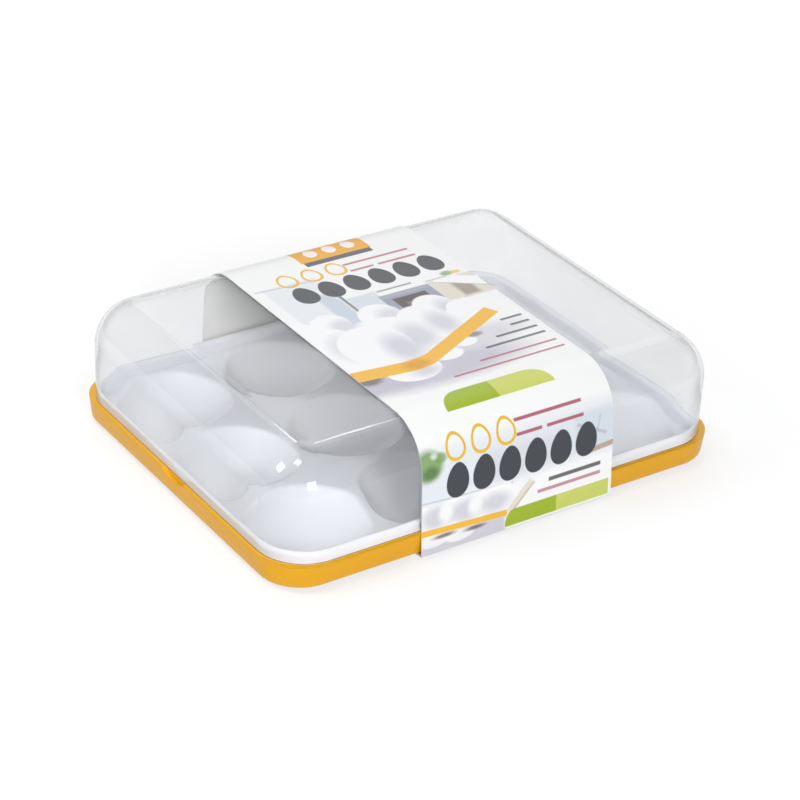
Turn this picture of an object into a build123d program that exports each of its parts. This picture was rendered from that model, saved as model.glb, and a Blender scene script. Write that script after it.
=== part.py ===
from build123d import *
from math import asin, atan2, cos, degrees, hypot, pi, sin, tan
import os

os.makedirs("parts", exist_ok=True)

# Boxed egg holder for twelve eggs: a white pocket tray seated in a yellow base
# ring, a clear lid over it, and a printed card sleeve around the middle.
# Millimetres, +Z up, X along the long side. The origin is on the surface that
# the box stands on, below its centre.

# ---- driving dimensions ----
ring_length = 262.0        # outer size of the base ring at its top edge
ring_width = 206.7
ring_height = 12.2
ring_corner = 23.3
ring_taper = 1.3           # how far each side draws in towards the foot
ring_foot_round = 2.5
ring_wall = 3.2
ledge_thickness = 2.2      # flat top of the ring that carries lid and tray

notch_chord = 21.0         # thumb notch in the middle of each short side
notch_depth = 3.2
notch_reach = 2.4

rim_inset = 4.0            # outer face of the tray rim, inside the ring's edge
rim_width = 4.6
rim_height = 18.0          # above the foot of the ring
land_height = 11.5         # flat lands between the pockets, above the same foot
tray_wall = 1.4

pockets_long = 4
pockets_wide = 3
pocket_margin = 2.1        # from a pocket's mouth to the nearest side of its cell
pocket_lip_round = 4.0
bowl_drop = 2.0            # how far the bowls reach below the foot of the ring

lid_inset = 2.0            # outer face of the lid, inside the ring's edge
lid_wall = 1.6
lid_corner = 25.0
lid_shoulder = 24.0        # round from the lid's sides to its top
lid_top_height = 65.7      # above the foot of the ring

card_thickness = 0.45
sleeve_length = 113.0
sleeve_offset = 1.75       # the sleeve sits a little off the middle
sleeve_flat = 70.0         # half width of the flat middle of the bottom panel

# ---- clearances ----
card_clearance = 0.3       # card to lid and ring
floor_clearance = 0.1      # card to the undersides of the bowls
crease_gap = 0.1           # between the wrap and the bottom panel
lid_seat_gap = 0.1
tray_seat_gap = 0.05
tray_ring_clearance = 0.2

# ---- levels ----
bowl_underside_z = card_thickness + floor_clearance
ring_z = bowl_underside_z + bowl_drop
ledge_z = ring_z + ring_height
land_z = ring_z + land_height
rim_z = ring_z + rim_height
lid_z = ledge_z + lid_seat_gap
lid_top_z = ring_z + lid_top_height
shoulder_z = lid_top_z - lid_shoulder
pocket_floor_z = bowl_underside_z + tray_wall

# ---- plan sizes that follow from the ring ----
ring_taper_angle = degrees(atan2(ring_taper, ring_height))
lid_length = ring_length - 2 * lid_inset
lid_width = ring_width - 2 * lid_inset
shoulder_y = lid_width / 2 - lid_shoulder
rim_corner = lid_inset + lid_corner - rim_inset
skirt_inset = rim_inset + tray_wall
well_inset = rim_inset + rim_width
inner_wall_inset = well_inset - tray_wall
ledge_inset = inner_wall_inset - tray_ring_clearance
well_length = ring_length - 2 * well_inset
well_width = ring_width - 2 * well_inset
pocket_pitch_x = well_length / pockets_long
pocket_pitch_y = well_width / pockets_wide
pocket_mouth_radius = min(pocket_pitch_x, pocket_pitch_y) / 2 - pocket_margin

# ---- bowl shape: a spherical cap through the mouth circle and the floor ----
pocket_depth = land_z - pocket_floor_z
bowl_radius = (pocket_mouth_radius**2 + pocket_depth**2) / (2 * pocket_depth)
bowl_centre_z = pocket_floor_z + bowl_radius


def inset_plate(inset, edge_corner=ring_corner):
    """Rounded rectangle a given distance inside the ring's top edge."""
    RectangleRounded(ring_length - 2 * inset, ring_width - 2 * inset, edge_corner - inset)


def rim_plate(inset):
    """The same, with corners that follow the inside of the lid."""
    inset_plate(inset, rim_corner + rim_inset)


def cap_profile(radius, top_z):
    """Half section of a spherical cap about the bowl's centre, cut at top_z."""
    rise = bowl_centre_z - top_z
    half_angle = asin((radius**2 - rise**2) ** 0.5 / radius)
    edge = (radius * sin(half_angle), top_z)
    middle_angle = half_angle / 2
    middle = (radius * sin(middle_angle), bowl_centre_z - radius * cos(middle_angle))
    bottom = (0, bowl_centre_z - radius)
    with BuildSketch() as cap:
        with BuildLine():
            ThreePointArc(bottom, middle, edge)
            Polyline(edge, (0, top_z), bottom)
        make_face()
    return cap.sketch


def sleeve_side(grow):
    """Where the sleeve's straight side passes the ring's top edge, and its lean."""
    side_y = ring_width / 2 + card_clearance + grow
    run_y = side_y - shoulder_y
    run_z = shoulder_z - ledge_z
    reach = hypot(run_y, run_z)
    radius = lid_shoulder + card_clearance + grow
    lean = atan2(-run_z, run_y) + asin((reach**2 - radius**2) ** 0.5 / reach)
    return side_y, lean


def sleeve_foot(grow, low_z):
    """How far out the same straight side stands at a given height."""
    side_y, lean = sleeve_side(grow)
    return side_y + (ledge_z - low_z) * tan(lean)


def sleeve_profile(grow, low_z):
    """Outline of everything inside the sleeve, grown outwards, from low_z up."""
    lean = sleeve_side(grow)[1]
    foot_y = sleeve_foot(grow, low_z)
    radius = lid_shoulder + card_clearance + grow
    half = (pi / 2 + lean) / 2
    tangent = (shoulder_y + radius * cos(lean), shoulder_z + radius * sin(lean))
    middle = (shoulder_y + radius * cos(half), shoulder_z + radius * sin(half))
    top = (shoulder_y, shoulder_z + radius)
    with BuildSketch() as outline:
        with BuildLine():
            Polyline((0, low_z), (foot_y, low_z), tangent)
            ThreePointArc(tangent, middle, top)
            Polyline(top, (0, top[1]), (0, low_z))
        make_face()
        mirror(about=Plane.YZ)
    return outline.sketch


# ---- base ring ----
notch_radius = (notch_chord**2 / 4 + notch_depth**2) / (2 * notch_depth)
notch_axis_z = ledge_z - notch_depth + notch_radius

with BuildPart() as base_ring:
    with BuildSketch(Plane.XY.offset(ledge_z)):
        inset_plate(0)
    extrude(amount=-ring_height, taper=ring_taper_angle)
    fillet(base_ring.faces().sort_by(Axis.Z)[0].edges(), ring_foot_round)
    with BuildSketch(Plane.XY.offset(ledge_z - ledge_thickness)):
        inset_plate(ring_wall)
    extrude(amount=-ring_height, taper=ring_taper_angle, mode=Mode.SUBTRACT)
    with BuildSketch(Plane.XY.offset(ledge_z)):
        rim_plate(ledge_inset)
    extrude(amount=-ring_height, mode=Mode.SUBTRACT)
    for end in (-1, 1):
        with Locations((end * ring_length / 2, 0, notch_axis_z)):
            Cylinder(notch_radius, 2 * notch_reach, rotation=(0, 90, 0), mode=Mode.SUBTRACT)
base_ring.part.label = "base_ring"
export_step(base_ring.part, "parts/base_ring.step")

# ---- egg tray: solids that shape one bowl ----
with BuildPart() as bowl_hollow:
    with BuildSketch(Plane.XZ):
        add(cap_profile(bowl_radius, land_z))
    revolve(axis=Axis.Z)

with BuildPart() as bowl_body:
    with BuildSketch(Plane.XZ):
        add(cap_profile(bowl_radius + tray_wall, land_z))
    revolve(axis=Axis.Z)

# ---- egg tray ----
with BuildPart() as egg_tray:
    with BuildSketch(Plane.XY.offset(ledge_z + tray_seat_gap)):
        rim_plate(rim_inset)
    extrude(amount=rim_z - ledge_z - tray_seat_gap)
    with BuildSketch(Plane.XY.offset(land_z - tray_wall)):
        rim_plate(inner_wall_inset)
    extrude(amount=rim_z - land_z)
    with BuildSketch(Plane.XY.offset(land_z)):
        rim_plate(well_inset)
    extrude(amount=rim_height, mode=Mode.SUBTRACT)
    fillet(egg_tray.faces().sort_by(Axis.Z)[-1].edges(), rim_width / 2 - 0.05)
    with BuildSketch(Plane.XY.offset(ledge_z)):
        rim_plate(skirt_inset)
        with BuildSketch(mode=Mode.PRIVATE) as inner_wall_plan:
            rim_plate(inner_wall_inset)
        add(inner_wall_plan.sketch, mode=Mode.SUBTRACT)
    extrude(amount=rim_z - ledge_z - tray_wall, mode=Mode.SUBTRACT)
    with GridLocations(pocket_pitch_x, pocket_pitch_y, pockets_long, pockets_wide):
        add(bowl_body.part)
    with GridLocations(pocket_pitch_x, pocket_pitch_y, pockets_long, pockets_wide):
        add(bowl_hollow.part, mode=Mode.SUBTRACT)
    mouths = egg_tray.edges().filter_by(GeomType.CIRCLE).filter_by(
        lambda edge: abs(edge.center().Z - land_z) < 0.01
        and abs(edge.radius - pocket_mouth_radius) < 0.01
    )
    fillet(mouths, pocket_lip_round)
egg_tray.part.label = "egg_tray"
export_step(egg_tray.part, "parts/egg_tray.step")

# ---- clear lid: its outside and the space inside it ----
with BuildPart() as lid_core:
    with BuildSketch(Plane.XY.offset(lid_z)):
        RectangleRounded(lid_length - 2 * lid_wall, lid_width - 2 * lid_wall, lid_corner - lid_wall)
    extrude(amount=lid_top_z - lid_z - lid_wall)
    fillet(lid_core.faces().sort_by(Axis.Z)[-1].edges(), lid_shoulder - lid_wall)

with BuildPart() as lid:
    with BuildSketch(Plane.XY.offset(lid_z)):
        RectangleRounded(lid_length, lid_width, lid_corner)
    extrude(amount=lid_top_z - lid_z)
    fillet(lid.faces().sort_by(Axis.Z)[-1].edges(), lid_shoulder)
    add(lid_core.part, mode=Mode.SUBTRACT)
lid.part.label = "lid"
export_step(lid.part, "parts/lid.step")

# ---- card sleeve: the wrap over the top and down both sides ----
crease_z = ring_z
sleeve_start = Plane.YZ.offset(sleeve_offset - sleeve_length / 2)

with BuildPart() as sleeve_wrap:
    with BuildSketch(sleeve_start):
        add(sleeve_profile(card_thickness, crease_z + crease_gap))
    extrude(amount=sleeve_length)
    with BuildSketch(sleeve_start):
        add(sleeve_profile(0, 0))
    extrude(amount=sleeve_length, mode=Mode.SUBTRACT)
sleeve_wrap.part.label = "sleeve_wrap"
export_step(sleeve_wrap.part, "parts/sleeve_wrap.step")

# ---- card sleeve: the panel underneath, bowed down by the bowls ----
panel_half = sleeve_foot(card_thickness, crease_z)

with BuildPart() as sleeve_bottom:
    with BuildSketch(sleeve_start):
        with BuildLine():
            Polyline(
                (-panel_half, crease_z - card_thickness),
                (-sleeve_flat, 0),
                (sleeve_flat, 0),
                (panel_half, crease_z - card_thickness),
                (panel_half, crease_z),
                (sleeve_flat, card_thickness),
                (-sleeve_flat, card_thickness),
                (-panel_half, crease_z),
                close=True,
            )
        make_face()
    extrude(amount=sleeve_length)
sleeve_bottom.part.label = "sleeve_bottom"
export_step(sleeve_bottom.part, "parts/sleeve_bottom.step")

print("pocket pitch", round(pocket_pitch_x, 2), round(pocket_pitch_y, 2))
print("bowl radius", round(bowl_radius, 2), "depth", round(pocket_depth, 2))
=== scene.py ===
from math import asin, atan2, cos, hypot, pi, radians, sin, tan

import bmesh
import bpy
from mathutils import Matrix, Quaternion, Vector


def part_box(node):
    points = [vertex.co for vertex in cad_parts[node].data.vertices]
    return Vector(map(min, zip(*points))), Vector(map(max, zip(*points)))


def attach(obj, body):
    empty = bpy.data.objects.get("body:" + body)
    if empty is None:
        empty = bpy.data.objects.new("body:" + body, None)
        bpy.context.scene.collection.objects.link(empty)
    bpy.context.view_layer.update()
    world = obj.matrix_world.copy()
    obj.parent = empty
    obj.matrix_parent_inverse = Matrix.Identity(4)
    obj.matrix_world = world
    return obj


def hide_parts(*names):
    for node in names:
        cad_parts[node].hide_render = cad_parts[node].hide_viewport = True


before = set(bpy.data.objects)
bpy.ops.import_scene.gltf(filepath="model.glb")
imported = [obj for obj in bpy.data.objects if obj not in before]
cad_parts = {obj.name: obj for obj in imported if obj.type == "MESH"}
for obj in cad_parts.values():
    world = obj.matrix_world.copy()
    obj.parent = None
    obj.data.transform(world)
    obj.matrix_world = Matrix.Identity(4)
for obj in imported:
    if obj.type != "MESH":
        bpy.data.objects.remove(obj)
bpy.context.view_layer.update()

scene = bpy.context.scene
mm = 0.001

ringLow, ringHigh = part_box("base_ring")
trayLow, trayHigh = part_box("egg_tray")
lidLow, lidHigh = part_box("lid")
wrapLow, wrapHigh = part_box("sleeve_wrap")
panelLow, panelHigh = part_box("sleeve_bottom")
ringLength, ringWidth = ringHigh[0] - ringLow[0], ringHigh[1] - ringLow[1]
print("frame loaded")


def paint(red, green, blue):        # screen colour to the linear one that a socket holds
    def straight(level):
        level = level / 255
        return level / 12.92 if level <= 0.04045 else ((level + 0.055) / 1.055) ** 2.4
    return (straight(red), straight(green), straight(blue), 1.0)


plainWhite = (1.0, 1.0, 1.0, 1.0)


class Wire:                         # a node's output that takes part in sums
    def __init__(self, desk, socket):
        self.desk = desk
        self.socket = socket

    def other(self, name):          # another output of the same node
        return Wire(self.desk, self.socket.node.outputs[name])

    def sum(self, operation, *others):
        return self.desk.sum(operation, self, *others)

    def __add__(self, other):
        return self.desk.sum("ADD", self, other)

    def __radd__(self, other):
        return self.desk.sum("ADD", other, self)

    def __sub__(self, other):
        return self.desk.sum("SUBTRACT", self, other)

    def __rsub__(self, other):
        return self.desk.sum("SUBTRACT", other, self)

    def __mul__(self, other):
        return self.desk.sum("MULTIPLY", self, other)

    def __rmul__(self, other):
        return self.desk.sum("MULTIPLY", other, self)

    def __truediv__(self, other):
        return self.desk.sum("DIVIDE", self, other)

    def __rtruediv__(self, other):
        return self.desk.sum("DIVIDE", other, self)

    def __pow__(self, other):
        return self.desk.sum("POWER", self, other)

    def __abs__(self):
        return self.desk.sum("ABSOLUTE", self)

    def clamped(self):
        return self.desk.sum("ADD", self, 0.0, clamp=True)


class Desk:                         # the nodes of one material, or of the world
    def __init__(self, owner):
        self.owner = owner
        owner.use_nodes = True
        self.tree = owner.node_tree
        self.tree.nodes.clear()

    def add(self, kind, settings=None, values=None, output=0):
        node = self.tree.nodes.new(kind)
        for key, setting in (settings or {}).items():
            setattr(node, key, setting)
        pairs = values.items() if isinstance(values, dict) else enumerate(values or [])
        for key, value in pairs:
            if isinstance(value, Wire):
                self.tree.links.new(value.socket, node.inputs[key])
            else:
                node.inputs[key].default_value = value
        return Wire(self, node.outputs[output]) if len(node.outputs) else None

    def sum(self, operation, *terms, clamp=False):
        return self.add("ShaderNodeMath", {"operation": operation, "use_clamp": clamp}, terms)

    def arrow(self, operation, *terms, output=0):
        return self.add("ShaderNodeVectorMath", {"operation": operation}, terms, output)

    def blend(self, factor, first, second):
        return self.add("ShaderNodeMix", {"data_type": "RGBA"}, {0: factor, 6: first, 7: second}, 2)

    def place(self):
        return self.add("ShaderNodeTexCoord", output="Object")

    def noise(self, where, scale, detail=2.0, roughness=0.5):
        return self.add("ShaderNodeTexNoise", None,
                        {"Vector": where, "Scale": scale, "Detail": detail, "Roughness": roughness})

    def bump(self, height, strength, distance):
        return self.add("ShaderNodeBump", None,
                        {"Strength": strength, "Distance": distance, "Height": height})

    def done(self, shader):
        self.add("ShaderNodeOutputMaterial", None, {"Surface": shader})
        return self.owner


def newDesk(name):
    return Desk(bpy.data.materials.new(name))


# the camera comes first, so that it is there whatever follows
view = {
    "azimuth": -34.98,              # degrees, 0 looks along +Y
    "elevation": 29.41,
    "roll": 2.78,
    "distance": 1.32046,
    "aim": (0.0, 0.0, 0.03755),
    "sensor": 36.0,
    "lens": 117.36,
    "shift": (0.00215, -0.0374),
    "nearest": 0.05,
}


def setCamera():
    turn, tilt = radians(view["azimuth"]), radians(view["elevation"])
    back = Vector((sin(turn) * cos(tilt), -cos(turn) * cos(tilt), sin(tilt)))
    data = bpy.data.cameras.new("camera")
    data.sensor_width = view["sensor"]
    data.lens = view["lens"]
    data.shift_x, data.shift_y = view["shift"]
    data.clip_start = view["nearest"]
    camera = bpy.data.objects.new("camera", data)
    scene.collection.objects.link(camera)
    camera.rotation_mode = "QUATERNION"
    camera.rotation_quaternion = ((-back).to_track_quat("-Z", "Y")
                                  @ Quaternion((0, 0, 1), radians(view["roll"])))
    camera.location = Vector(view["aim"]) + back * view["distance"]
    scene.camera = camera


setCamera()
print("camera set")


def vertsOf(made):
    return [item for item in made if isinstance(item, bmesh.types.BMVert)]


def edgesOf(made):
    return [item for item in made if isinstance(item, bmesh.types.BMEdge)]


def roundedPlate(bm, length, width, corner, level, steps):
    bmesh.ops.create_grid(bm, x_segments=1, y_segments=1, size=0.5)
    bmesh.ops.scale(bm, vec=(length, width, 1), verts=bm.verts)
    bmesh.ops.translate(bm, vec=(0, 0, level), verts=bm.verts)
    bmesh.ops.bevel(bm, geom=bm.verts[:], offset=corner, offset_type="OFFSET", segments=steps,
                    profile=0.5, affect="VERTICES", material=-1, clamp_overlap=False)
    return bm.faces[:][0]


def carryFace(bm, face, path):
    # path holds (inset, level) pairs: the plate steps along them and leaves walls behind
    inset, level = path[0]
    for nextInset, nextLevel in path[1:]:
        bmesh.ops.inset_region(bm, faces=[face], thickness=nextInset - inset,
                               use_even_offset=True, use_boundary=True)
        bmesh.ops.translate(bm, vec=(0, 0, nextLevel - level), verts=face.verts)
        inset, level = nextInset, nextLevel


def faceUp(bm):
    bmesh.ops.recalc_face_normals(bm, faces=bm.faces)
    if sum(face.normal.z * face.calc_area() for face in bm.faces) < 0:
        bmesh.ops.reverse_faces(bm, faces=bm.faces)


def makePiece(name, bm, *materials):
    mesh = bpy.data.meshes.new(name)
    bm.to_mesh(mesh)
    bm.free()
    piece = bpy.data.objects.new(name, mesh)
    scene.collection.objects.link(piece)
    for material in materials:
        mesh.materials.append(material)
    return piece


def thicken(piece, wall, rimSlot=0):
    shell = piece.modifiers.new("wall", "SOLIDIFY")
    shell.thickness = wall
    shell.offset = -1
    shell.use_even_offset = True
    shell.material_offset = rimSlot
    shell.material_offset_rim = rimSlot


def soften(piece, width, segments, angle):
    edge = piece.modifiers.new("edges", "BEVEL")
    edge.width = width
    edge.segments = segments
    edge.limit_method = "ANGLE"
    edge.angle_limit = radians(angle)
    edge.use_clamp_overlap = True


def settle(piece, sharp):
    # modifiers become mesh, then edges sharper than the angle stay crisp
    depsgraph = bpy.context.evaluated_depsgraph_get()
    finished = bpy.data.meshes.new_from_object(piece.evaluated_get(depsgraph))
    piece.modifiers.clear()
    piece.data = finished
    finished.name = piece.name
    finished.polygons.foreach_set("use_smooth", [True] * len(finished.polygons))
    finished.set_sharp_from_angle(angle=radians(sharp))


# the yellow ring round the foot
ringValues = {
    "yellow": paint(232, 171, 6),
    "deepYellow": paint(225, 162, 5),
    "roughness": 0.29,
    "roughnessSpread": 0.1,
    "index": 1.42,
    "cloudScale": 22.0,
    "grainScale": 900.0,
    "grainStrength": 0.35,
    "grainDepth": 0.02 * mm,
    "corner": 23.3 * mm,
    "cornerSteps": 16,
    "taper": 1.3 * mm,
    "footRound": 2.5 * mm,
    "footSteps": 6,
    "footTuck": 0.1 * mm,
    "innerFoot": 4.5 * mm,
    "ledge": 7.0 * mm,
    "ledgeDepth": 2.2 * mm,
    "notchChord": 21.0 * mm,
    "notchDepth": 3.2 * mm,
    "notchReach": 2.4 * mm,
    "cutterDepth": 4.0 * mm,
    "cutterSides": 96,
    "edge": 0.35 * mm,
    "edgeSteps": 3,
    "sharp": 30,
}


def makeYellowPlastic():
    values = ringValues
    desk = newDesk("yellowPlastic")
    where = desk.place()
    cloud = desk.noise(where, values["cloudScale"], 3.0)
    grain = desk.noise(where, values["grainScale"])
    return desk.done(desk.add("ShaderNodeBsdfPrincipled", None, {
        "Base Color": desk.blend(cloud, values["deepYellow"], values["yellow"]),
        "Roughness": values["roughness"] + values["roughnessSpread"] * cloud,
        "Normal": desk.bump(grain, values["grainStrength"], values["grainDepth"]),
        "IOR": values["index"]}))


def makeRing():
    values = ringValues
    top, foot = ringHigh[2], ringLow[2]
    footRound, footSteps, ledgeZ = values["footRound"], values["footSteps"], top - values["ledgeDepth"]
    side = values["taper"] * (1 - footRound / (top - foot))
    path = [(0, top), (side, foot + footRound)]
    for step in range(1, footSteps + 1):
        turn = pi / 2 * step / footSteps
        path.append((side + footRound * (1 - cos(turn)) + values["footTuck"] * step / footSteps,
                     foot + footRound * (1 - sin(turn))))
    path += [(values["innerFoot"], foot), (values["innerFoot"], ledgeZ),
             (values["ledge"], ledgeZ), (values["ledge"], top)]
    bm = bmesh.new()
    face = roundedPlate(bm, ringLength, ringWidth, values["corner"], top, values["cornerSteps"])
    carryFace(bm, face, path)
    bmesh.ops.delete(bm, geom=[face], context="FACES_ONLY")
    bmesh.ops.bridge_loops(bm, edges=[edge for edge in bm.edges if edge.is_boundary])
    bmesh.ops.recalc_face_normals(bm, faces=bm.faces)
    yellowPlastic = makeYellowPlastic()
    piece = makePiece("yellowRing", bm, yellowPlastic)
    # a thumb notch in the middle of each short side, cut with the edge of a large disc
    depth = values["notchDepth"]
    radius = (values["notchChord"] ** 2 / 4 + depth ** 2) / (2 * depth)
    cutter = bmesh.new()
    for end in (-1, 1):
        made = bmesh.ops.create_cone(cutter, cap_ends=True, segments=values["cutterSides"],
                                     radius1=radius, radius2=radius, depth=values["cutterDepth"],
                                     matrix=Matrix.Rotation(pi / 2, 4, "Y"))
        across = ringLength / 2 - values["notchReach"] + values["cutterDepth"] / 2
        bmesh.ops.translate(cutter, verts=made["verts"], vec=(end * across, 0, top - depth + radius))
    tool = makePiece("notchCutter", cutter, yellowPlastic)
    cut = piece.modifiers.new("notch", "BOOLEAN")
    cut.object = tool
    cut.solver = "EXACT"
    soften(piece, values["edge"], values["edgeSteps"], values["sharp"])
    settle(piece, values["sharp"])
    bpy.data.objects.remove(tool, do_unlink=True)
    return piece


ring = makeRing()
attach(ring, "base")
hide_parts("base_ring")
print("ring made")

# the white tray: four by three bowls, a flat land round them and a rolled rim
trayValues = {
    "white": paint(231, 232, 236),
    "shade": paint(222, 223, 230),
    "roughness": 0.18,
    "roughnessSpread": 0.03,
    "index": 1.5,
    "flowScale": 30.0,
    "grainScale": 420.0,
    "grainShare": 0.3,
    "bumpStrength": 0.25,
    "grainDepth": 0.015 * mm,
    "across": 4,
    "deep": 3,
    "land": 11.5 * mm,              # above the ring's foot
    "wall": 1.4 * mm,
    "rimInset": 4.0 * mm,
    "rimWidth": 4.6 * mm,
    "mouthMargin": 2.1 * mm,
    "lip": 4.0 * mm,
    "rimCorner": 27.0 * mm,         # corner of a plan at no inset
    "rimRound": 2.25 * mm,
    "rimSteps": 12,
    "rimOver": 0.05 * mm,           # how far the rim's outside stops above the ring
    "wellFoot": 1.0 * mm,
    "bowlSteps": 14,
    "lipSteps": 6,
    "turnSteps": 80,
    "sharp": 50,
}


def makeWhitePlastic():
    values = trayValues
    desk = newDesk("whitePlastic")
    where = desk.place()
    cloud = desk.noise(where, values["flowScale"], 3.0)
    grain = desk.noise(where, values["grainScale"])
    height = grain * values["grainShare"] + cloud
    return desk.done(desk.add("ShaderNodeBsdfPrincipled", None, {
        "Base Color": desk.blend(cloud, values["shade"], values["white"]),
        "Roughness": values["roughness"] + values["roughnessSpread"] * cloud,
        "Normal": desk.bump(height, values["bumpStrength"], values["grainDepth"]),
        "IOR": values["index"]}))


def pushOut(verts, inset, level):
    # puts a loop on the rounded plan that lies this far inside the ring's edge
    corner = trayValues["rimCorner"]
    coreLength, coreWidth = ringLength / 2 - corner, ringWidth / 2 - corner
    for vert in verts:
        coreX = max(-coreLength, min(coreLength, vert.co.x))
        coreY = max(-coreWidth, min(coreWidth, vert.co.y))
        out = Vector((vert.co.x - coreX, vert.co.y - coreY)).normalized() * (corner - inset)
        vert.co = Vector((coreX + out.x, coreY + out.y, level))


def makeTray():
    values = trayValues
    land = ringLow[2] + values["land"]
    floorZ = trayLow[2] + values["wall"]
    well = values["rimInset"] + values["rimWidth"]
    pitchX = (ringLength - 2 * well) / values["across"]
    pitchY = (ringWidth - 2 * well) / values["deep"]
    mouth = min(pitchX, pitchY) / 2 - values["mouthMargin"]
    depth = land - floorZ
    radius = (mouth ** 2 + depth ** 2) / (2 * depth)
    centreZ, lipZ = floorZ + radius, land - values["lip"]
    lipX = ((radius + values["lip"]) ** 2 - (centreZ - lipZ) ** 2) ** 0.5
    sweep = atan2(lipX, centreZ - lipZ)
    bm = bmesh.new()
    # half the bowl's section: its floor swings up to the lip, and the lip rolls over
    start = bmesh.ops.create_vert(bm, co=(0, 0, floorZ))["vert"]
    made = bmesh.ops.spin(bm, geom=start, cent=(0, 0, centreZ), axis=(0, -1, 0), dvec=(0, 0, 0),
                          angle=sweep, steps=values["bowlSteps"], use_merge=False)
    bmesh.ops.spin(bm, geom=vertsOf(made["geom_last"]), cent=(lipX, 0, lipZ), axis=(0, 1, 0),
                   dvec=(0, 0, 0), angle=sweep, steps=values["lipSteps"], use_merge=False)
    bmesh.ops.spin(bm, geom=bm.verts[:] + bm.edges[:], cent=(0, 0, 0), axis=(0, 0, 1),
                   dvec=(0, 0, 0), angle=2 * pi, steps=values["turnSteps"], use_merge=True)
    bmesh.ops.remove_doubles(bm, verts=bm.verts, dist=0.01 * mm)
    bmesh.ops.rotate(bm, verts=bm.verts, cent=(0, 0, 0), matrix=Matrix.Rotation(pi / 4, 3, "Z"))
    # flat land from the lip out to the square of its cell, one side per quarter turn
    rims = [edge for edge in bm.edges if edge.is_boundary]
    nudge = 1e-6                    # keeps a vertex that is right on a corner on one side
    for vert in vertsOf(bmesh.ops.extrude_edge_only(bm, edges=rims)["geom"]):
        turn = (atan2(vert.co.y, vert.co.x) / (pi / 2) + 0.5 + nudge) % 4
        side, along = int(turn), turn - int(turn) - 0.5
        ways = [(0.5, along), (-along, 0.5), (-0.5, -along), (along, -0.5)]
        vert.co = Vector((ways[side][0] * pitchX, ways[side][1] * pitchY, land))
    cell = bm.verts[:] + bm.edges[:] + bm.faces[:]
    places = [((column + 0.5 - values["across"] / 2) * pitchX, (row + 0.5 - values["deep"] / 2) * pitchY)
              for column in range(values["across"]) for row in range(values["deep"])]
    for placeX, placeY in places[1:]:
        copy = bmesh.ops.duplicate(bm, geom=cell)["geom"]
        bmesh.ops.translate(bm, vec=(placeX, placeY, 0), verts=vertsOf(copy))
    bmesh.ops.translate(bm, vec=(*places[0], 0), verts=vertsOf(cell))
    bmesh.ops.remove_doubles(bm, verts=bm.verts, dist=0.02 * mm)
    faceUp(bm)
    # up the wall of the well, over the rolled rim and down outside it
    edges = [edge for edge in bm.edges if edge.is_boundary]
    pushOut({vert for edge in edges for vert in edge.verts}, well, land)
    rimRound, half = values["rimRound"], values["rimWidth"] / 2
    shoulder = trayHigh[2] - rimRound
    path = [(well, land + values["wellFoot"]), (well, shoulder)]
    for step in range(1, values["rimSteps"]):
        turn = pi * step / values["rimSteps"]
        path.append((values["rimInset"] + half + half * cos(turn), shoulder + rimRound * sin(turn)))
    path += [(values["rimInset"], shoulder), (values["rimInset"], ringHigh[2] + values["rimOver"])]
    for inset, level in path:
        made = bmesh.ops.extrude_edge_only(bm, edges=edges)["geom"]
        edges = edgesOf(made)
        pushOut(vertsOf(made), inset, level)
    faceUp(bm)
    piece = makePiece("whiteTray", bm, makeWhitePlastic())
    thicken(piece, values["wall"])
    settle(piece, values["sharp"])
    return piece


tray = makeTray()
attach(tray, "base")
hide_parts("egg_tray")
print("tray made", len(tray.data.polygons))

# the clear lid
lidValues = {
    "tint": (0.925, 0.932, 0.935, 1.0),
    # painted shade: a near-black glass that the lid is mixed towards where it is seen edge on, to darken its
    # silhouettes
    "paintedEdgeShadeTint": (0.10, 0.11, 0.12, 1.0),
    "paintedEdgeShadeShare": 0.9,
    "shadowTint": (0.865, 0.87, 0.875, 1.0),
    "index": 1.46,
    "roughness": 0.0,
    "flowScale": 26.0,
    "flowStrength": 0.12,
    "flowDepth": 0.04 * mm,
    "corner": 25.0 * mm,
    "cornerSteps": 24,
    "shoulder": 24.0 * mm,
    "shoulderSteps": 18,
    "wall": 1.6 * mm,
    "edge": 0.25 * mm,
    "edgeSteps": 2,
    "edgeAngle": 60,
    "sharp": 40,
}


def makeClearPlastic():
    values = lidValues
    desk = newDesk("clearPlastic")
    flow = desk.noise(desk.place(), values["flowScale"])
    normal = desk.bump(flow, values["flowStrength"], values["flowDepth"])
    # seen edge on there is more plastic to look through, and the share mixed towards a near-black glass
    # there is painted shade that darkens the lid's silhouettes
    glass, thick = [desk.add("ShaderNodeBsdfPrincipled", None, {
        "Base Color": values[tint], "Roughness": values["roughness"], "IOR": values["index"],
        "Transmission Weight": 1.0, "Normal": normal}) for tint in ("tint", "paintedEdgeShadeTint")]
    facing = desk.add("ShaderNodeLayerWeight", None, {"Blend": 0.5}, output="Facing")
    body = desk.add("ShaderNodeMixShader", None, [facing ** 4 * values["paintedEdgeShadeShare"], glass, thick])
    # lamps shine straight through, only dimmed
    clear = desk.add("ShaderNodeBsdfTransparent", None, {"Color": values["shadowTint"]})
    lampRay = desk.add("ShaderNodeLightPath", output="Is Shadow Ray")
    return desk.done(desk.add("ShaderNodeMixShader", None, [lampRay, body, clear]))


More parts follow.
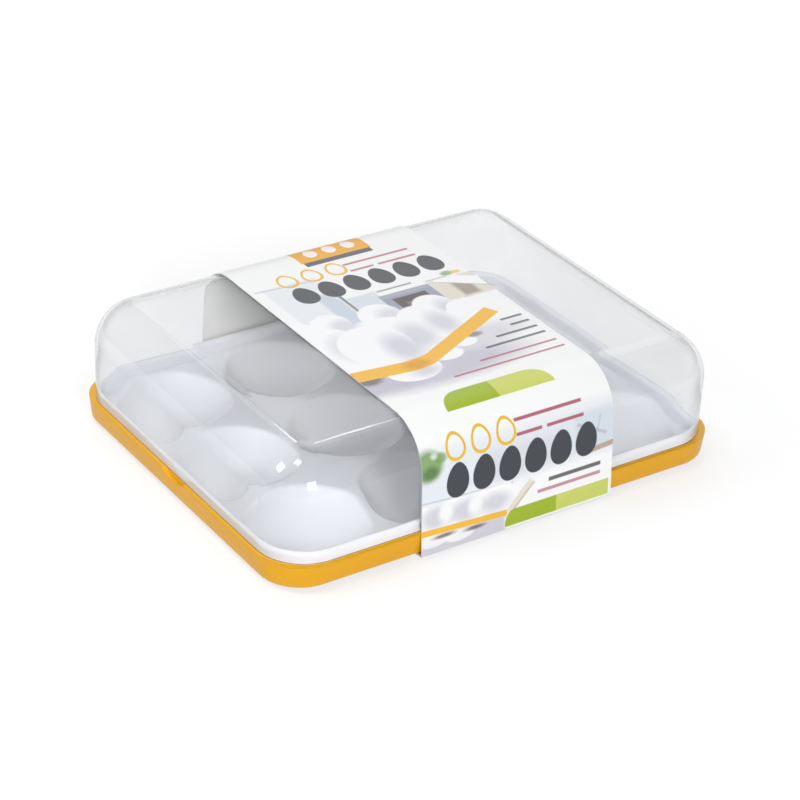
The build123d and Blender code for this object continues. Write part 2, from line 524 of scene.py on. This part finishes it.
def makeLid():
    values = lidValues
    shoulder, steps = values["shoulder"], values["shoulderSteps"]
    bottom, top = lidLow[2], lidHigh[2]
    bm = bmesh.new()
    face = roundedPlate(bm, lidHigh[0] - lidLow[0], lidHigh[1] - lidLow[1], values["corner"], bottom,
                        values["cornerSteps"])
    path = [(0, bottom), (0, top - shoulder)]
    for step in range(1, steps + 1):
        turn = pi / 2 * step / steps
        path.append((shoulder * (1 - cos(turn)), top - shoulder * (1 - sin(turn))))
    carryFace(bm, face, path)
    piece = makePiece("clearLid", bm, makeClearPlastic())
    thicken(piece, values["wall"])
    soften(piece, values["edge"], values["edgeSteps"], values["edgeAngle"])
    settle(piece, values["sharp"])
    return piece


lid = makeLid()
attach(lid, "lid")
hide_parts("lid")
print("lid made")

# the card sleeve, printed outside and bare inside
cardValues = {
    "paper": paint(250, 250, 249),
    "soil": paint(120, 120, 126),
    "roughness": 0.33,
    "roughnessSpread": 0.08,
    "index": 1.45,
    "fibreScale": 500.0,
    "fibreStrength": 0.3,
    "fibreDepth": 0.01 * mm,
    "mottleScale": 40.0,
    "bare": paint(228, 226, 221),
    "bareLight": paint(238, 237, 233),
    "bareRoughness": 0.7,
    "bareFibreScale": 700.0,
    "bareFibreDepth": 0.03 * mm,
    "bareCloudScale": 60.0,
    "thickness": 0.45 * mm,
    "clearance": 0.3 * mm,
    "shoulder": 24.0 * mm,
    "lidInset": 2.0 * mm,
    "sideSteps": 12,
    "shoulderSteps": 16,
    "topSteps": 20,
    "lengthSteps": 12,
    "sharp": 50,
}


def makeBareCard():
    values = cardValues
    desk = newDesk("bareCard")
    where = desk.place()
    fibre = desk.noise(where, values["bareFibreScale"], 4.0, 0.7)
    cloud = desk.noise(where, values["bareCloudScale"])
    return desk.done(desk.add("ShaderNodeBsdfPrincipled", None, {
        "Base Color": desk.blend(fibre * 0.5 + cloud * 0.3, values["bare"], values["bareLight"]),
        "Roughness": values["bareRoughness"] + 0.1 * cloud,
        "Normal": desk.bump(fibre, 0.4, values["bareFibreDepth"])}))


# what is printed on the card, in millimetres: x along the box and the way up the
# front, over the top and down the back, measured from the front bottom crease
inks = {
    "dark": paint(52, 56, 62),
    "softDark": paint(92, 94, 100),
    "yellow": paint(240, 186, 40),
    "orange": paint(244, 176, 36),
    "crimson": paint(172, 58, 84),
    "green": paint(160, 184, 22),
    "lime": paint(206, 214, 104),
    "leaf": paint(120, 160, 84),
    "deepLeaf": paint(72, 116, 56),
    "mist": paint(222, 229, 236),
    "cool": paint(196, 208, 220),
    "grey": paint(206, 208, 213),
    "stone": paint(176, 178, 186),
    "steel": paint(150, 156, 176),
    "glassDark": paint(84, 72, 68),
    "wood": paint(176, 140, 110),
    "beige": paint(226, 220, 204),
    "brown": paint(140, 124, 110),
    "white": paint(252, 252, 252),
    "eggShade": paint(208, 209, 218),
    "lilac": paint(196, 192, 206),
    "shadow": paint(96, 84, 84),
    "rim": paint(246, 188, 48),
    "rimShade": paint(220, 154, 28),
}

# kind, ink, shape, soft edge, strength: a box is left, right, low, high; an oval is centre
# and half sizes; a strip is start, end and thickness; a row is first, pitch, count, level
# and half sizes of one egg, and a ringRow draws only the eggs' outlines
picture = [
    # the front panel, from the back of the picture forwards
    ("box", "mist", (-60, 60, 26, 54), 9.0, 0.75),
    ("box", "grey", (-20, 30, 29, 46), 8.0, 0.5),
    ("box", "cool", (34, 60, 30, 50), 4.0, 0.5),
    ("strip", "stone", (36, 45, 54, 36, 1.6), 1.2, 0.7),
    ("strip", "stone", (47, 34, 50, 47, 1.0), 1.0, 0.5),
    ("oval", "leaf", (-51, 47, 8, 8), 3.5, 0.9),
    ("oval", "deepLeaf", (-50, 43.5, 4.5, 3.5), 3.0, 0.8),
    ("oval", "leaf", (-44, 50, 3.5, 2.6), 1.6, 0.8),
    ("oval", "white", (-47.5, 51.5, 1.8, 1.5), 1.5, 0.6),
    ("strip", "wood", (40, 28.3, 60, 29.8, 3.0), 0.8, 0.8),
    ("strip", "stone", (-60, 28.5, -2, 25.0, 0.9), 0.8, 0.6),
    ("box", "lilac", (-60, -6, -1, 9), 2.5, 0.75),
    ("box", "white", (-60, -3, 12, 26), 1.0, 0.85),
    ("oval", "eggShade", (-46, 19, 9, 6), 5.0, 0.9),
    ("oval", "eggShade", (-29, 18, 9, 6), 5.0, 0.9),
    ("oval", "eggShade", (-12, 17, 8, 5), 5.0, 0.9),
    ("oval", "white", (-41, 20, 4, 5), 3.0, 0.9),
    ("oval", "white", (-24, 19, 4, 5), 3.0, 0.9),
    ("oval", "white", (-48, 6.5, 8.5, 3.2), 1.0, 0.8),
    ("oval", "white", (-33, 5.5, 8.5, 3.0), 1.0, 0.8),
    ("oval", "shadow", (-42, 8.0, 6, 1.1), 1.0, 0.85),
    ("oval", "shadow", (-24, 6.9, 6, 1.1), 1.0, 0.85),
    ("strip", "rim", (-60, 12.2, -5, 9.2, 3.3), 0.5, 1.0),
    ("strip", "beige", (-4, 9.0, 9.5, 22.5, 4.2), 1.2, 0.9),
    ("strip", "wood", (-2.5, 8.4, 10.8, 21.6, 0.8), 0.7, 0.6),
    ("box", "white", (12, 60, 9.8, 24.5), 2.0, 0.7),
    # the top panel's kitchen
    ("box", "mist", (-48, -17, 163, 214), 2.0, 0.55),
    ("strip", "stone", (-52, 213.5, -16, 210.5, 1.4), 1.0, 0.5),
    ("box", "cool", (-28, -18, 162, 196), 2.0, 0.8),
    ("box", "softDark", (-17, -15.2, 166, 197), 0.8, 0.85),
    ("box", "cool", (-15, 2, 164, 186), 2.0, 0.6),
    ("box", "steel", (0.5, 31, 160, 180), 0.9, 0.95),
    ("box", "stone", (0.5, 31, 176.5, 180), 0.6, 0.8),
    ("box", "glassDark", (5.5, 25.5, 163, 174.5), 0.8, 0.95),
    ("box", "brown", (10, 22, 164.5, 168.5), 1.4, 0.8),
    ("box", "beige", (31, 60, 158, 181.5), 1.2, 0.9),
    ("box", "brown", (41.5, 51, 160, 176), 2.6, 0.75),
    ("strip", "white", (37, 184, 64, 166, 9), 0.8, 1.0),
    ("strip", "stone", (37, 178.0, 64, 160.5, 0.8), 0.8, 0.7),
    ("oval", "leaf", (46, 185, 3.5, 2.4), 1.4, 0.8),
    ("oval", "yellow", (51, 184.5, 3.0, 1.8), 1.2, 0.7),
    ("box", "softDark", (3, 24, 184.2, 185.6), 0.8, 0.75),
    ("box", "stone", (31, 44, 181.8, 183), 0.8, 0.7),
    # the tray on the top panel
    ("oval", "lilac", (-14, 104, 48, 13), 9.0, 0.9),
    ("oval", "lilac", (22, 122, 26, 9), 8.0, 0.55),
    ("box", "lilac", (-60, -30, 96, 112), 6.0, 0.9),
    ("oval", "shadow", (-50, 110.5, 7, 5), 3.0, 0.8),
    ("oval", "white", (-25, 109, 15, 10.5), 0.8, 1.0),
    ("oval", "eggShade", (-20, 105, 8, 4.5), 5.0, 0.8),
    ("oval", "white", (-2, 114, 9, 5.6), 0.8, 1.0),
    ("oval", "white", (13, 120, 6.5, 4.2), 0.8, 1.0),
    ("oval", "shadow", (21, 124, 4.5, 2.2), 1.6, 0.7),
    ("oval", "white", (-54, 166, 10, 9), 1.0, 1.0),
    ("oval", "white", (-36, 166, 10.5, 11), 0.9, 1.0),
    ("oval", "eggShade", (-31, 162, 7, 7), 6.0, 0.7),
    ("oval", "white", (-9, 163, 11.5, 12), 0.9, 1.0),
    ("oval", "eggShade", (-4, 160, 7, 8), 6.0, 0.7),
    ("oval", "white", (20.5, 157, 11.5, 13.5), 0.9, 1.0),
    ("oval", "eggShade", (26, 153, 6, 9), 6.0, 0.8),
    ("oval", "white", (33.5, 150, 10, 9), 0.9, 1.0),
    ("strip", "white", (-58, 128, -8, 124, 22), 1.5, 1.0),
    ("strip", "white", (-10, 126, 42, 152, 16), 1.5, 1.0),
    ("oval", "white", (-46, 148, 15, 18), 1.2, 1.0),
    ("oval", "eggShade", (-40, 142, 9, 12), 9.0, 0.75),
    ("oval", "white", (8, 148, 13.5, 16), 1.2, 1.0),
    ("oval", "eggShade", (14.5, 142, 7, 11), 7.0, 0.8),
    ("oval", "white", (-12, 143, 16, 18), 1.2, 1.0),
    ("oval", "eggShade", (-4, 137, 8.5, 12), 8.0, 0.8),
    ("oval", "white", (-28, 138, 19, 20), 1.2, 1.0),
    ("oval", "eggShade", (-17, 130, 8.5, 13), 8.0, 0.9),
    ("strip", "rim", (-60, 116.6, -24, 112.6, 9.6), 0.6, 1.0),
    ("strip", "rim", (-25, 112.4, -12, 114.0, 9.4), 0.6, 1.0),
    ("strip", "rim", (-13, 113.6, 43.5, 141.2, 8.4), 0.6, 1.0),
    ("oval", "rimShade", (-21, 112.5, 7, 4.5), 4.0, 0.8),
    # titles and notes as plain shapes
    ("row", "dark", (-34.3, 15.2, 6, 35.8, 6.4, 9.4), 0.3, 1.0),
    ("ringRow", "yellow", (-34.8, 14.6, 3, 53.3, 5.4, 7.0), 0.3, 1.0),
    ("box", "crimson", (0, 40, 56.0, 57.7), 0.4, 0.9),
    ("box", "crimson", (0, 15, 48.8, 50.5), 0.4, 0.9),
    ("box", "crimson", (18, 40, 48.8, 50.5), 0.4, 0.9),
    ("box", "dark", (19.5, 51, 19.0, 21.2), 0.4, 0.9),
    ("box", "crimson", (13, 51, 14.2, 16.0), 0.4, 0.75),
    ("row", "dark", (-30.6, 15.2, 6, 199.0, 6.4, 9.0), 0.3, 0.97),
    ("ringRow", "yellow", (-31.0, 14.6, 3, 216.6, 5.4, 6.8), 0.3, 1.0),
    ("box", "crimson", (4, 44, 217.4, 219.2), 0.4, 0.8),
    ("box", "crimson", (4, 18, 210.0, 211.8), 0.4, 0.8),
    ("box", "crimson", (21, 44, 210.0, 211.8), 0.4, 0.8),
    ("box", "dark", (41, 54, 128.9, 130.7), 0.4, 0.85),
    ("box", "dark", (42.5, 54, 122.3, 124.1), 0.4, 0.85),
    ("box", "dark", (29, 54, 115.5, 117.3), 0.4, 0.85),
    ("box", "dark", (18, 54, 108.7, 110.5), 0.4, 0.85),
    ("box", "crimson", (8, 54, 99.6, 101.1), 0.4, 0.8),
    ("box", "crimson", (-12, 54, 92.8, 94.3), 0.4, 0.8),
    # the block of colour at the back of the top panel
    ("box", "orange", (-14, 28.5, 229.5, 247), 0.5, 1.0),
    ("box", "softDark", (-13, 27.5, 225.2, 229.5), 0.4, 1.0),
    ("row", "white", (-4.0, 11.5, 3, 238.5, 3.6, 5.0), 0.3, 0.95),
    # the back panel, read from the other side
    ("box", "mist", (-60, 60, 264, 292), 9.0, 0.8),
    ("row", "dark", (-38.0, 15.2, 6, 280.5, 6.4, -9.4), 0.3, 1.0),
    ("box", "crimson", (-20, 20, 265.0, 266.7), 0.4, 0.9),
    ("box", "softDark", (-38, 38, 294.0, 295.6), 0.4, 0.85),
    ("box", "softDark", (-38, 12, 298.8, 300.4), 0.4, 0.85),
    ("box", "green", (-56.5, 0, 305.5, 313.0), 0.4, 1.0),
    ("box", "lime", (0, 56.5, 305.5, 313.0), 0.4, 1.0),
]

# the two-tone tags: a box with its colours split, and its top corners rounded
tags = {
    "frontTag": {"left": -6.2, "right": 56.5, "low": 1.2, "high": 10.0, "split": 24.5,
                 "round": 5.0, "bothEnds": False},
    "topTag": {"left": -31.5, "right": 31.5, "low": 70.2, "high": 82.8, "split": -1.2,
               "round": 12.0, "bothEnds": True},
}

farOff = 999                        # millimetres, past any edge of the card


def softStep(desk, past, soft):     # 1 inside the edge, 0 outside, over a soft width
    return desk.sum("MULTIPLY_ADD", past, -1 / soft, 0.5, clamp=True)


def boxMask(desk, spot, shape, soft):
    left, right, low, high = shape
    middle, half = ((left + right) / 2, (low + high) / 2, 0), ((right - left) / 2, (high - low) / 2, 1)
    away = desk.arrow("ABSOLUTE", desk.arrow("SUBTRACT", spot, middle))
    past = desk.add("ShaderNodeSeparateXYZ", None, [desk.arrow("SUBTRACT", away, half)])
    return softStep(desk, past.sum("MAXIMUM", past.other("Y")), soft)


def ovalMask(desk, spot, shape, soft):
    middleX, middleY, halfX, halfY = shape
    near = desk.arrow("DIVIDE", desk.arrow("SUBTRACT", spot, (middleX, middleY, 0)), (halfX, halfY, 1))
    far = desk.arrow("LENGTH", near, output=1)
    scale = min(halfX, halfY) / soft
    return desk.sum("MULTIPLY_ADD", far, -scale, scale + 0.5 * min(1, scale), clamp=True)


def stripMask(desk, spot, shape, soft):
    startX, startY, endX, endY, thick = shape
    run, rise = endX - startX, endY - startY
    span = hypot(run, rise)
    local = desk.arrow("SUBTRACT", spot, ((startX + endX) / 2, (startY + endY) / 2, 0))
    along = abs(desk.arrow("DOT_PRODUCT", local, (run / span, rise / span, 0), output=1)) - span / 2
    across = abs(desk.arrow("DOT_PRODUCT", local, (-rise / span, run / span, 0), output=1)) - thick / 2
    return softStep(desk, along.sum("MAXIMUM", across), soft)


def rowMask(desk, spot, shape, soft, outline=False):
    # a row of eggs, narrower towards the end that halfY points to
    first, pitch, count, level, halfX, halfY = shape
    start = first - pitch / 2
    pointed, outlineAt, outlineHalf = 0.16, 0.92, 0.12
    spotX = desk.add("ShaderNodeSeparateXYZ", None, [spot])
    tall = (spotX.other("Y") - level) / halfY
    wide = ((spotX - start).sum("FLOORED_MODULO", pitch) - pitch / 2) / halfX / (1.0 - pointed * tall)
    far = (wide * wide + tall * tall).sum("SQRT")
    scale = halfX / soft
    if outline:
        far = abs(far - outlineAt) + (1.0 - outlineHalf)
    mask = desk.sum("MULTIPLY_ADD", far, -scale, scale + 0.5, clamp=True)
    reach = abs(halfY) * 1.3
    return mask * boxMask(desk, spot, (start, start + pitch * count, level - reach, level + reach), 0.1)


def ringRowMask(desk, spot, shape, soft):
    return rowMask(desk, spot, shape, soft, outline=True)


masks = {"box": boxMask, "oval": ovalMask, "strip": stripMask, "row": rowMask, "ringRow": ringRowMask}


def tagMask(desk, spot, tag):
    # straight foot, and one top corner or both rounded right over
    soft, reach = 0.35, tag["round"]
    left, right, low, high = tag["left"], tag["right"], tag["low"], tag["high"]

    def roundedEnd(middle, start, end):
        corner = ovalMask(desk, spot, (middle, low, reach, high - low), soft)
        return corner.sum("MAXIMUM", boxMask(desk, spot, (start, end, low - 1, high + 1), soft))

    shape = roundedEnd(left + reach, left + reach, farOff)
    if tag["bothEnds"]:
        shape = shape * roundedEnd(right - reach, -farOff, right - reach)
    return boxMask(desk, spot, (left, right, low, high), soft) * shape


def makePrintedCard():
    values = cardValues
    desk = newDesk("printedCard")
    spot = desk.add("ShaderNodeUVMap", {"uv_map": "cardUV"})
    spot = desk.arrow("MULTIPLY", spot, (1 / mm, 1 / mm, 0.0))
    colour = values["paper"]
    for kind, ink, shape, soft, strength in picture:
        mask = masks[kind](desk, spot, shape, soft)
        if strength < 1.0:
            mask = mask * strength
        colour = desk.blend(mask, colour, inks[ink])
    for tag in tags.values():
        light = boxMask(desk, spot, (tag["split"], farOff, -farOff, farOff), 0.3)
        colour = desk.blend(tagMask(desk, spot, tag), colour, desk.blend(light, inks["green"], inks["lime"]))
    where = desk.place()
    fibre = desk.noise(where, values["fibreScale"], 3.0, 0.6)
    mottle = desk.noise(where, values["mottleScale"])
    return desk.done(desk.add("ShaderNodeBsdfPrincipled", None, {
        "Base Color": desk.blend(0.02 + 0.02 * mottle, colour, values["soil"]),
        "Roughness": values["roughness"] + values["roughnessSpread"] * mottle,
        "Normal": desk.bump(fibre, values["fibreStrength"], values["fibreDepth"]),
        "IOR": values["index"]}))


def sweepOn(bm, geom, middle, way, angle, steps):
    # draws the card's section on, round a shoulder or, at no angle, straight by a stride
    made = bmesh.ops.spin(bm, geom=geom, cent=middle, axis=(-1, 0, 0), dvec=way, angle=angle,
                          steps=steps, use_merge=False)
    return vertsOf(made["geom_last"])


def makeSleeve(bareCard):
    values = cardValues
    offset = values["clearance"] + values["thickness"]
    radius = values["shoulder"] + offset
    shoulderY = ringWidth / 2 - values["lidInset"] - values["shoulder"]
    shoulderZ = lidHigh[2] - values["shoulder"]
    # the side is the line from the ring's edge that touches the shoulder
    sideY, edgeZ, lowZ = ringWidth / 2 + offset, ringHigh[2], wrapLow[2]
    run, rise = sideY - shoulderY, shoulderZ - edgeZ
    reach = hypot(run, rise)
    lean = atan2(-rise, run) + asin((reach ** 2 - radius ** 2) ** 0.5 / reach)
    footY = sideY + (edgeZ - lowZ) * tan(lean)
    touchY, touchZ = shoulderY + radius * cos(lean), shoulderZ + radius * sin(lean)
    bm = bmesh.new()
    way = bm.verts.layers.float.new("way")
    sides, bends = values["sideSteps"], values["shoulderSteps"]
    slope = Vector((0, footY - touchY, touchZ - lowZ)) / sides
    start = bmesh.ops.create_vert(bm, co=(wrapLow[0], -footY, lowZ))["vert"]
    end = sweepOn(bm, start, (0, 0, 0), slope, 0, sides)
    end = sweepOn(bm, end, (0, -shoulderY, shoulderZ), (0, 0, 0), pi / 2 - lean, bends)
    end = sweepOn(bm, end, (0, 0, 0), (0, 2 * shoulderY / values["topSteps"], 0), 0, values["topSteps"])
    end = sweepOn(bm, end, (0, shoulderY, shoulderZ), (0, 0, 0), pi / 2 - lean, bends)
    slope.z = -slope.z
    sweepOn(bm, end, (0, 0, 0), slope, 0, sides)
    # how far along the card each point lies, walked from the front crease
    vert, edge, walked = start[0], None, lowZ - ringLow[2]
    vert[way] = walked
    while True:
        following = [item for item in vert.link_edges if item is not edge]
        if not following:
            break
        edge = following[0]
        vert = edge.other_vert(vert)
        walked += edge.calc_length()
        vert[way] = walked
    steps = values["lengthSteps"]
    stride = (wrapHigh[0] - wrapLow[0]) / steps
    sweepOn(bm, bm.verts[:] + bm.edges[:], (0, 0, 0), (stride, 0, 0), 0, steps)
    bmesh.ops.remove_doubles(bm, verts=bm.verts, dist=0.005 * mm)
    faceUp(bm)
    sheet = bm.loops.layers.uv.new("cardUV")
    for face in bm.faces:
        for loop in face.loops:
            loop[sheet].uv = (loop.vert.co.x, loop.vert[way])
    piece = makePiece("cardWrap", bm, makePrintedCard(), bareCard)
    thicken(piece, values["thickness"], 1)
    settle(piece, values["sharp"])
    print("card wrap made, millimetres along it:", round(walked / mm, 1))
    return piece


bareCard = makeBareCard()
wrap = makeSleeve(bareCard)
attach(wrap, "sleeve")
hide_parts("sleeve_wrap")

# the panel underneath keeps its own shape and takes the bare card's look
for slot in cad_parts["sleeve_bottom"].material_slots:
    slot.material = bareCard
print("card bottom finished")

# floor, world and lamps
stage = {
    "floorSize": 4.0,
    "floorDrop": 0.2 * mm,          # under the card's bottom
    "floorColour": (0.90, 0.90, 0.90, 1.0),
    "speckColour": (0.8, 0.8, 0.8, 1.0),
    "speckScale": 300.0,
    "speckShare": 0.04,
    "nearFade": (0.17, 0.40),       # metres from the middle, from lit floor to plain white
    "cameraGlow": 0.61,
    "glowStrength": 1.12,
    "roomColour": (0.93, 0.95, 1.0, 1.0),
    "ambient": 0.22,
    "mirrored": 0.46,               # what glossy surfaces show of the room
    "throughGlass": 0.065,          # what the lid shows of the room, over the white floor
    "lamps": {
        "keyBox": {"at": (-1.02, 0.30, 0.95), "aim": (0, 0, 0.03),
                   "size": (0.40, 0.40), "power": 6.2},
        "frontBox": {"at": (-0.40, -1.38, 0.66), "aim": (0, 0, 0.03),
                     "size": (0.45, 0.45), "power": 13.0},
        "topBox": {"at": (-0.48, -0.14, 1.42), "aim": (0, 0, 0.03),
                   "size": (0.34, 0.34), "power": 3.3},
        "backPanel": {"at": (1.20, 1.40, 0.95), "aim": (0, 0, 0.05),
                      "size": (1.9, 1.0), "power": 6.2},
        "ceilingPanel": {"at": (0.85, 0.62, 1.30), "aim": (0.85, 0.61, 0.0),
                         "size": (1.3, 1.4), "power": 1.6},
        "edgeStrip": {"at": (0.98, 1.40, 2.08), "aim": (0, 0, 0.06),
                      "size": (1.9, 0.95), "power": 6.0},
        "spotOne": {"at": (0.35, 1.15, 1.20), "aim": (0, 0, 0.03),
                    "size": (0.10, 0.10), "power": 0.3},
        "spotTwo": {"at": (0.75, 0.75, 1.36), "aim": (0, 0, 0.03),
                    "size": (0.10, 0.10), "power": 0.3},
    },
}


def makeFloor():
    desk = newDesk("studioFloor")
    where = desk.place()
    near, far = stage["nearFade"]
    away = desk.arrow("LENGTH", desk.arrow("MULTIPLY", where, (1, 1, 0)), output=1)
    fade = desk.add("ShaderNodeMapRange", {"interpolation_type": "SMOOTHSTEP"},
                    {0: away, 1: near, 2: far, 3: 0.0, 4: 1.0})
    rays = desk.add("ShaderNodeLightPath", output="Is Camera Ray")
    seen = (rays + rays.other("Is Glossy Ray") + rays.other("Is Transmission Ray")).clamped()
    speck = desk.noise(where, stage["speckScale"])
    colour = desk.blend(speck * stage["speckShare"], stage["floorColour"], stage["speckColour"])
    lit = desk.add("ShaderNodeBsdfDiffuse", None, {"Color": colour})
    glow = desk.add("ShaderNodeEmission", None, {"Color": plainWhite, "Strength": stage["glowStrength"]})
    amount = seen * (stage["cameraGlow"] + (1.0 - stage["cameraGlow"]) * fade)
    look = desk.done(desk.add("ShaderNodeMixShader", None, [amount, lit, glow]))
    bm = bmesh.new()
    bmesh.ops.create_grid(bm, x_segments=1, y_segments=1, size=stage["floorSize"] / 2)
    bmesh.ops.translate(bm, vec=(0, 0, panelLow[2] - stage["floorDrop"]), verts=bm.verts)
    return makePiece("studioFloor", bm, look)


def makeWorld():
    scene.world = bpy.data.worlds.new("studio")
    desk = Desk(scene.world)
    rays = desk.add("ShaderNodeLightPath")
    through, glossy = rays.other("Is Transmission Ray"), rays.other("Is Glossy Ray")
    fresh = rays.other("Diffuse Depth").sum("LESS_THAN", 0.5)      # 1 until a matt bounce
    look = desk.add("ShaderNodeBackground", None,
                    {"Color": stage["roomColour"], "Strength": stage["ambient"]})
    # a ray through glass counts as glossy too, so its layers lie over the glossy one
    layers = [(glossy * fresh, stage["mirrored"]), (through, stage["throughGlass"]),
              (through * fresh, 1.0), (rays.other("Is Camera Ray"), 1.0)]
    for share, strength in layers:
        plain = desk.add("ShaderNodeBackground", None, {"Color": plainWhite, "Strength": strength})
        look = desk.add("ShaderNodeMixShader", None, [share, look, plain])
    desk.add("ShaderNodeOutputWorld", None, {"Surface": look})


def hangLamp(name, values):
    data = bpy.data.lights.new(name, "AREA")
    data.shape = "RECTANGLE"
    data.size, data.size_y = values["size"]
    data.energy = values["power"]
    lamp = bpy.data.objects.new(name, data)
    scene.collection.objects.link(lamp)
    lamp.visible_transmission = False       # the lid's shadow rays already let it in
    lamp.location = values["at"]
    way = Vector(values["aim"]) - Vector(values["at"])
    lamp.rotation_euler = way.to_track_quat("-Z", "Y").to_euler()


floor = makeFloor()
makeWorld()
for lampName, lampValues in stage["lamps"].items():
    hangLamp(lampName, lampValues)
scene.view_settings.view_transform = "Standard"
print("stage lit")
